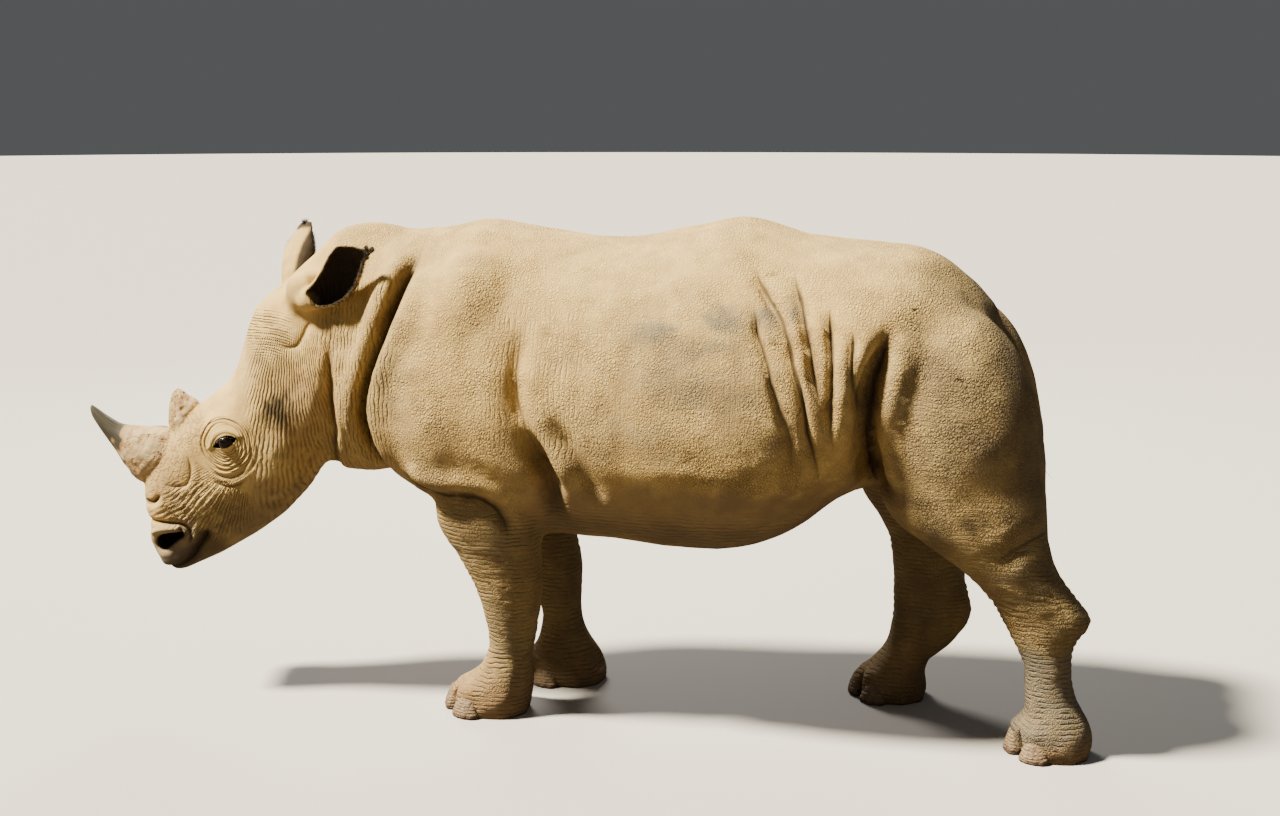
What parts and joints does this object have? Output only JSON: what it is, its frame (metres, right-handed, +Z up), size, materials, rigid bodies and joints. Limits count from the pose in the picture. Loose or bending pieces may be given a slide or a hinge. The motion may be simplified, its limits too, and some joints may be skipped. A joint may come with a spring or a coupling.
{
  "type": "southern white rhinoceros, life-size museum model",
  "caption": "Life-size still model of a standing white rhinoceros with its head low, two nose horns and a folded, wrinkled hide; it stands free on the flat soles of its feet.",
  "frame": {"origin": "on the floor, under the middle of the whole model's box", "axes": "+Z up; -X the way the head faces; -Y the animal's left side"},
  "size_m": [3.4098, 0.9996, 1.6718],
  "materials": {
    "hide": "matt, cracked and folded dry hide with pale dust",
    "horn": "matt fibrous horn, smoother towards the tip",
    "nail": "matt, scuffed and dusty horny nail",
    "eye": "wet, dark and glossy"
  },
  "bodies": {
    "root": {"trunk": "hide", "head": "hide", "neck": "hide", "tail": "hide", "leg_front_left": "hide", "leg_front_right": "hide", "leg_hind_left": "hide", "leg_hind_right": "hide", "ear_left": "hide", "ear_right": "hide", "horn_front": "horn", "horn_rear": "horn", "eye_left": "eye", "eye_right": "eye", "toenail_front_left_inner": "nail", "toenail_front_left_middle": "nail", "toenail_front_left_outer": "nail", "toenail_front_right_inner": "nail", "toenail_front_right_middle": "nail", "toenail_front_right_outer": "nail", "toenail_hind_left_inner": "nail", "toenail_hind_left_middle": "nail", "toenail_hind_left_outer": "nail", "toenail_hind_right_inner": "nail", "toenail_hind_right_middle": "nail", "toenail_hind_right_outer": "nail"}
  },
  "joints": []
}
